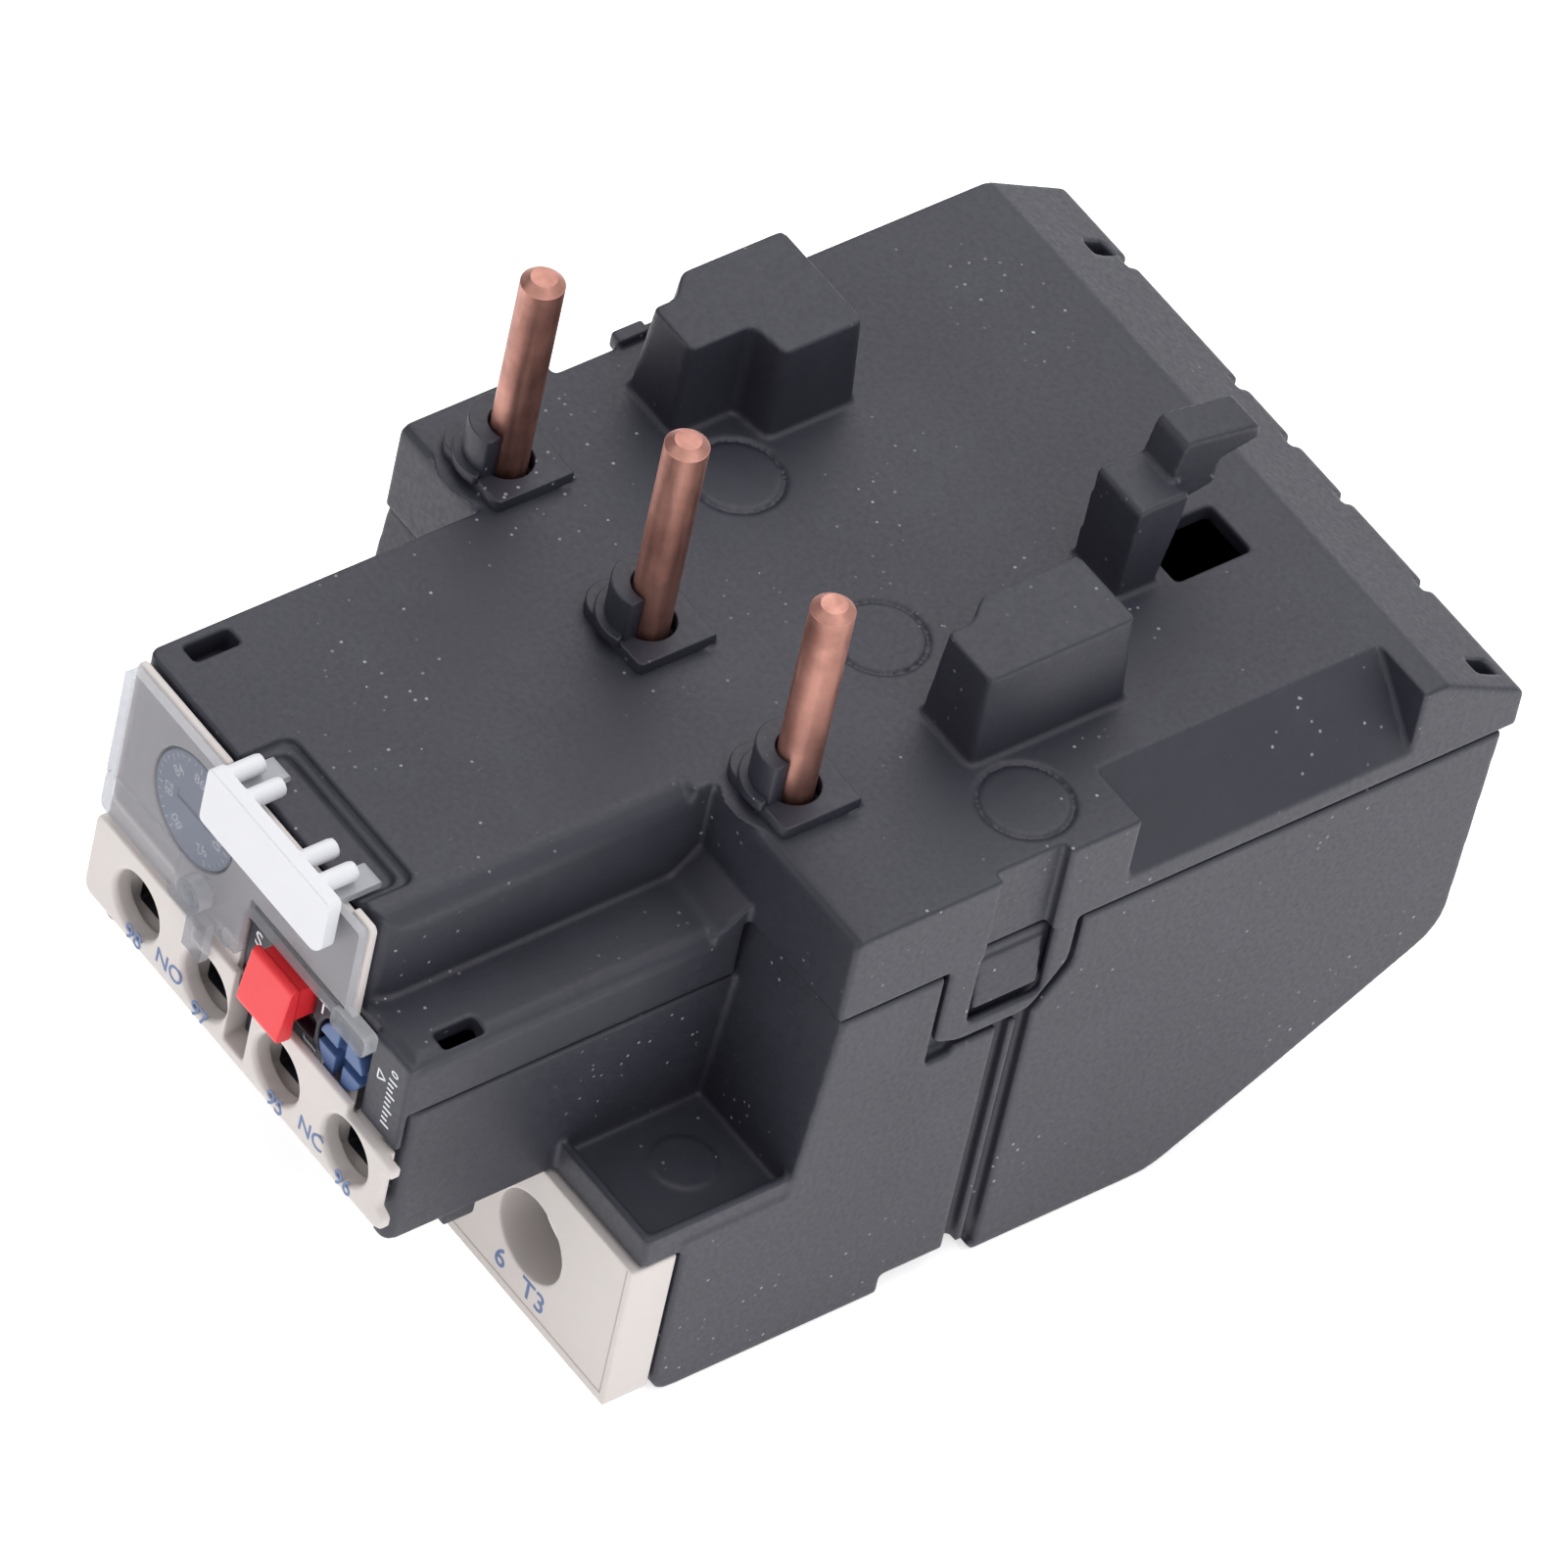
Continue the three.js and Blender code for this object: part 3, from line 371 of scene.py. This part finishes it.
TOP = 53.85  # height of the cover's flat top
PIN_FOOT = 2.6  # from the front of a pin's foot to the pin's axis
SOFT_EDGE = 0.15  # rounding of the collars' edges
LARGE = ["base_housing", "top_cover"]
MEDIUM = ["power_terminal_strip", "aux_terminal_block", "front_fascia"]
SMALL = ["label_holder", "stop_button", "reset_knob"]
DEFORMING = ["stop_spring", "reset_spring"]


def pin_place(number):
    """Axis of a pin, x and y in mm."""
    low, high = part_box(f"pin_{number}")
    return (low[0] + high[0]) / 2 / MM, low[1] / MM + PIN_FOOT


def arc(x, y, radius, start, end, steps=28):
    """Points of an arc round x, y, angles in degrees. A full turn doesn't repeat its first point."""
    turns = [math.radians(start + (end - start) * i / steps) for i in range(steps + 1)]
    if abs(end - start) >= 360.0:
        turns = turns[:-1]
    return [(x + radius * math.cos(t), y + radius * math.sin(t)) for t in turns]


def extruded(name, outlines, low, high, soft):
    """Solid between two heights with the first outline outside, the others as holes, edges rounded."""
    curve = bpy.data.curves.new(name, "CURVE")
    curve.dimensions = "2D"
    curve.fill_mode = "BOTH"
    for outline in outlines:
        spline = curve.splines.new("POLY")
        spline.points.add(len(outline) - 1)
        for point, (x, y) in zip(spline.points, outline):
            point.co = (x * MM, y * MM, 0.0, 1.0)
        spline.use_cyclic_u = True
    curve.extrude = ((high - low) / 2 - soft) * MM
    curve.bevel_depth = soft * MM
    curve.bevel_resolution = 2
    curve.offset = -soft * MM
    path = new_object(name, curve)
    mesh = evaluated_mesh(path)
    mesh.transform(Matrix.Translation((0.0, 0.0, (low + high) / 2 * MM)))
    bpy.data.objects.remove(path)
    shape = bmesh.new()
    shape.from_mesh(mesh)
    bmesh.ops.remove_doubles(shape, verts=shape.verts, dist=WELD)
    bmesh.ops.recalc_face_normals(shape, faces=shape.faces)
    shape.to_mesh(mesh)
    shape.free()
    return new_object(name, mesh)


def collar_room(x, y):
    """Space over the cover's top from which the CAD's bosses make way for a collar."""
    return extruded("room", [arc(x - 0.9, y - 0.4, 6.4, 0.0, 360.0)], TOP + 0.02, TOP + 8.0, 0.0)


def collar(number, x, y):
    """Plate round a pin, with the half sleeve that stands in front of it and the lip at its foot."""
    hole = arc(x, y, 2.6, 0.0, 360.0)
    plate = arc(x - 3.0, y - 1.2, 2.9, 160.0, 260.0, 12)
    plate += [(x + 3.9, y - 3.95), (x + 4.3, y - 3.6), (x + 4.4, y + 4.4), (x - 2.2, y + 4.7)]
    sleeve = arc(x - 0.45, y - 0.3, 3.55, -62.0, -195.0) + arc(x, y, 2.25, -195.0, -62.0)
    lip = arc(x - 0.5, y - 0.35, 4.35, -66.0, -200.0) + arc(x - 0.5, y - 0.35, 3.3, -200.0, -66.0)
    solids = [
        extruded("plate", [plate, hole], TOP - 0.6, TOP + 1.35, SOFT_EDGE),
        extruded("sleeve", [sleeve], TOP - 0.4, TOP + 6.0, SOFT_EDGE),
        extruded("lip", [lip], TOP + 0.9, TOP + 1.95, SOFT_EDGE),
    ]
    obj = new_object(f"v_collar_{number}", joined("collar", [solid.data for solid in solids]))
    for solid in solids:
        bpy.data.objects.remove(solid)
    set_material(obj, BLACK)
    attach(obj, "housing")


def mouldings():
    large_voxel = 0.24
    places = [pin_place(number) for number in (1, 2, 3)]
    rooms = [collar_room(x, y) for x, y in places]
    softened("base_housing", large_voxel, 0.25)
    softened("top_cover", large_voxel, 0.25, rooms)
    for room in rooms:
        bpy.data.objects.remove(room)
    for number, (x, y) in enumerate(places, start=1):
        collar(number, x, y)
    for node in MEDIUM:
        softened(node, 0.16, 0.3)
    for node in SMALL:
        softened(node, 0.1, 0.4)


def clear_edges():
    """Gives the sides of the clear cover their hazier material."""
    mesh = bpy.data.objects["v_clear_cover"].data
    mesh.materials.append(CLEAR_EDGE)
    for polygon in mesh.polygons:
        if abs(polygon.normal.y) < 0.8:
            polygon.material_index = 1


for node_name, node_object in NODES.items():
    set_material(node_object, SLOT_MATERIAL[SLOT_OF[node_name]])
mouldings()
for node_name in NODES:
    if node_name not in LARGE + MEDIUM + SMALL + DEFORMING:
        bevelled(node_name, 0.12)
clear_edges()

# ---- printed marks -------------------------------------------------------

INK_DEPTH = 0.03  # the print stands this far before and behind its face
GROOVE_INSET = 1.2
LINE_HALF = 0.07  # half the width of a printed line
TRIANGLE_HALF = 0.09


def printed(name, mesh, material, body):
    """A printed piece that rides on a body."""
    obj = new_object(name, mesh)
    set_material(obj, material)
    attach(obj, body)


def lettering(name, items, material, body):
    """One printed piece: each item is a text, its centre x, y, z in mm, its height and its turn."""
    meshes = []
    for text, x, y, z, height, turn in items:
        curve = bpy.data.curves.new("text", "FONT")
        curve.body = text
        curve.size = height * 1.38 * MM
        curve.align_x = "CENTER"
        curve.align_y = "CENTER"
        curve.extrude = INK_DEPTH * MM
        curve.offset = 0.012 * height * MM
        word = new_object("word", curve)
        upright = Matrix.Rotation(math.radians(90), 4, "X")
        spin = Matrix.Rotation(math.radians(turn), 4, "Y")
        word.matrix_world = Matrix.Translation(Vector((x, y, z)) * MM) @ spin @ upright
        mesh = evaluated_mesh(word)
        mesh.transform(word.matrix_world)
        meshes.append(mesh)
        bpy.data.objects.remove(word)
    printed(name, joined(name, meshes), material, body)


def strokes(name, y, outlines, material, body):
    """Printed shapes on the face at y that looks along -Y: each outline is its corners x, z in mm."""
    shape = bmesh.new()
    for corners in outlines:
        front = [shape.verts.new(Vector((x, y - INK_DEPTH, z)) * MM) for x, z in corners]
        back = [shape.verts.new(Vector((x, y + INK_DEPTH, z)) * MM) for x, z in corners]
        shape.faces.new(front)
        shape.faces.new(list(reversed(back)))
        for i in range(len(corners)):
            j = (i + 1) % len(corners)
            shape.faces.new([front[j], front[i], back[i], back[j]])
    bmesh.ops.recalc_face_normals(shape, faces=shape.faces)
    mesh = bpy.data.meshes.new(name)
    shape.to_mesh(mesh)
    shape.free()
    printed(name, mesh, material, body)


def rectangle(x0, z0, x1, z1):
    """Corners of an upright rectangle."""
    return [(x0, z0), (x1, z0), (x1, z1), (x0, z1)]


def line(start, end, half):
    """Corners of a straight line, as wide as twice half."""
    (x0, z0), (x1, z1) = start, end
    length = math.hypot(x1 - x0, z1 - z0)
    dx, dz = -(z1 - z0) / length * half, (x1 - x0) / length * half
    return [(x0 - dx, z0 - dz), (x1 - dx, z1 - dz), (x1 + dx, z1 + dz), (x0 + dx, z0 + dz)]


def auxiliary_words():
    """Terminal numbers and contact kinds under the auxiliary screws."""
    face = front_of("aux_terminal_block")
    words = [
        ("98", -15.7, 24.35), ("NO", -10.4, 25.5), ("97", -5.4, 24.3),
        ("95", 6.4, 24.3), ("NC", 11.7, 25.5), ("96", 16.9, 24.3),
    ]
    items = [(word, x, face, z, 1.85, 0.0) for word, x, z in words]
    lettering("print_aux", items, INK, "housing")


def strip_words():
    """Terminal numbers under the power terminals, pole by pole."""
    face = front_of("power_terminal_strip")
    pitch = 22.0
    height = 2.35
    items = []
    for pole, (number, terminal) in enumerate((("2", "T1"), ("4", "T2"), ("6", "T3"))):
        shift = pitch * (pole - 2)
        items.append((number, 18.1 + shift, face, 4.4, height, 0.0))
        items.append((terminal, 23.2 + shift, face, 4.3, height, 0.0))
    lettering("print_strip", items, INK, "housing")


def plate_letters():
    """Letters on either side of the stop button."""
    face = front_of("front_fascia")
    items = [("S", -0.9, face, 38.2, 1.7, 0.0), ("T", 8.85, face, 38.9, 1.5, 0.0)]
    lettering("print_plate", items, PAINT, "housing")


def strip_groove_painted_shade():
    """Painted shade of a shallow groove round three sides of the power strip's face: a darker beige
    line.
    """
    low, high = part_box("power_terminal_strip")
    left = low[0] / MM + GROOVE_INSET * 0.6
    right = high[0] / MM - GROOVE_INSET * 0.6
    bottom = low[2] / MM + GROOVE_INSET
    top = high[2] / MM - 0.2
    outlines = [
        rectangle(left, bottom - LINE_HALF, right, bottom + LINE_HALF),
        rectangle(right - LINE_HALF, bottom, right + LINE_HALF, top),
        rectangle(left - LINE_HALF, bottom, left + LINE_HALF, top),
    ]
    face = front_of("power_terminal_strip")
    # the strokes are painted shade standing in for the groove's shade
    strokes("painted_groove_line", face, outlines, GROOVE_PAINTED_SHADE, "housing")


def flap_scale():
    """Scale on the flap: a row of ticks, an open triangle and a 0."""
    face = front_of("top_cover")
    outlines = []
    for i in range(10):
        right = 19.5 + 0.4 * (i % 3 == 0)
        outlines.append(rectangle(18.7, 33.9 + 0.62 * i, right, 34.1 + 0.62 * i))
    triangle = [(17.2, 38.2), (18.3, 38.8), (17.2, 39.4)]
    for i in range(3):
        outlines.append(line(triangle[i], triangle[(i + 1) % 3], TRIANGLE_HALF))
    strokes("print_scale", face, outlines, PAINT, "housing")
    lettering(
        "print_zero", [("0", 19.4, face, 40.6, 1.0, -90.0)], PAINT, "housing"
    )


def dial_scale():
    """Ticks round the dial's rim, with a number inside every fifth."""
    face = front_of("current_dial")
    low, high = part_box("current_dial")
    middle_x = (low[0] + high[0]) / 2 / MM
    middle_z = (low[2] + high[2]) / 2 / MM
    numbers = []
    ticks = []
    for i in range(31):
        degrees = 240.0 - 10.0 * i
        ux, uz = math.cos(math.radians(degrees)), math.sin(math.radians(degrees))
        inner = 4.75 if i % 5 == 0 else 5.05
        start, end = [(middle_x + r * ux, middle_z + r * uz) for r in (inner, 5.4)]
        ticks.append(line(start, end, LINE_HALF))
        if i % 5 == 0:
            x, z = middle_x + 3.75 * ux, middle_z + 3.75 * uz
            numbers.append((str(80 + i * 2 // 5), x, face, z, 1.15, 90.0 - degrees))
    strokes("print_ticks", face, ticks, PAINT, "dial")
    lettering("print_numbers", numbers, PAINT, "dial")


auxiliary_words()
strip_words()
plate_letters()
strip_groove_painted_shade()
flap_scale()
dial_scale()

# ---- stage, light, camera ------------------------------------------------

FLOOR_HALF = 6.0
FLOOR_DROP = 0.2 * MM  # the floor lies this far under the feet
CENTRE = Vector((0.0, 0.0, 0.03))
AZIMUTH = 44.36
ELEVATION = 46.74
ROLL = 13.18
DISTANCE = 1.65627
LENS = 419.4
AIM = (0.0087, 0.02114)  # middle of the picture from the origin, across and up, in metres
AIM_SHIFT = Vector((0.0, -1.0 * MM, 0.0))


def lit_floor():
    """A large pale floor that glows a little, so that it stays nearly white."""
    mesh = bpy.data.meshes.new("floor")
    size = FLOOR_HALF
    mesh.from_pydata(
        [(-size, -size, 0), (size, -size, 0), (size, size, 0), (-size, size, 0)], [], [(0, 1, 2, 3)]
    )
    floor = new_object("floor", mesh)
    floor.location.z = -FLOOR_DROP
    mat, tree, shader = blank_material("floor_paint")
    shader.inputs["Base Color"].default_value = (0.93, 0.93, 0.93, 1.0)
    shader.inputs["Roughness"].default_value = 0.9
    shader.inputs["Emission Color"].default_value = (1.0, 1.0, 1.0, 1.0)
    shader.inputs["Emission Strength"].default_value = 0.6
    set_material(floor, mat)


def area(name, place, size, power):
    """A rectangular lamp that faces the object."""
    light = bpy.data.lights.new(name, "AREA")
    light.shape = "RECTANGLE"
    light.size = size[0]
    light.size_y = size[1]
    light.energy = power
    obj = new_object(name, light)
    obj.location = place
    obj.rotation_euler = (CENTRE - Vector(place)).to_track_quat("-Z", "Y").to_euler()


def sky():
    """A soft room: bright above, behind and to the right, darker in front of the terminals."""
    world = bpy.data.worlds.new("studio")
    bpy.context.scene.world = world
    world.use_nodes = True
    tree = world.node_tree
    where = tree.nodes.new("ShaderNodeTexCoord")
    facing = tree.nodes.new("ShaderNodeVectorMath")
    facing.operation = "DOT_PRODUCT"
    facing.inputs[1].default_value = (0.55, 0.45, 0.7)
    tree.links.new(where.outputs["Generated"], facing.inputs[0])
    level = spread(tree, facing.outputs["Value"], -0.5, 1.0, 0.1, 0.75)
    back = tree.nodes["Background"]
    back.inputs[0].default_value = (0.97, 0.98, 1.0, 1.0)
    tree.links.new(level, back.inputs[1])


def camera():
    """Placed from its direction, its roll and the point of the object it looks at."""
    cam = bpy.data.cameras.new("camera")
    cam.lens = LENS
    cam.sensor_width = 36.0
    cam.clip_end = 20.0
    obj = new_object("camera", cam)
    az = math.radians(AZIMUTH)
    el = math.radians(ELEVATION)
    back = Vector((math.sin(az) * math.cos(el), -math.cos(az) * math.cos(el), math.sin(el)))
    turn = back.to_track_quat("Z", "Y").to_matrix()
    roll = Matrix.Rotation(math.radians(ROLL), 3, "Z")
    rotation = turn @ roll
    across = rotation @ Vector((1.0, 0.0, 0.0))
    up = rotation @ Vector((0.0, 1.0, 0.0))
    middle = across * AIM[0] + up * AIM[1] + AIM_SHIFT
    obj.matrix_world = Matrix.Translation(middle + back * DISTANCE) @ rotation.to_4x4()
    bpy.context.scene.camera = obj


lit_floor()
area("key", (1.25, 0.1, 0.9), (0.8, 0.8), 3.2)
area("sheen", (-0.62, 0.64, 0.95), (1.3, 1.1), 6.0)
area("top", (0.1, 0.1, 1.4), (1.2, 1.2), 7.0)
area("fill", (-0.3, -1.2, 0.8), (0.8, 0.8), 4.2)
sky()
camera()

scene = bpy.context.scene
scene.view_settings.view_transform = "Standard"
scene.view_settings.look = "None"
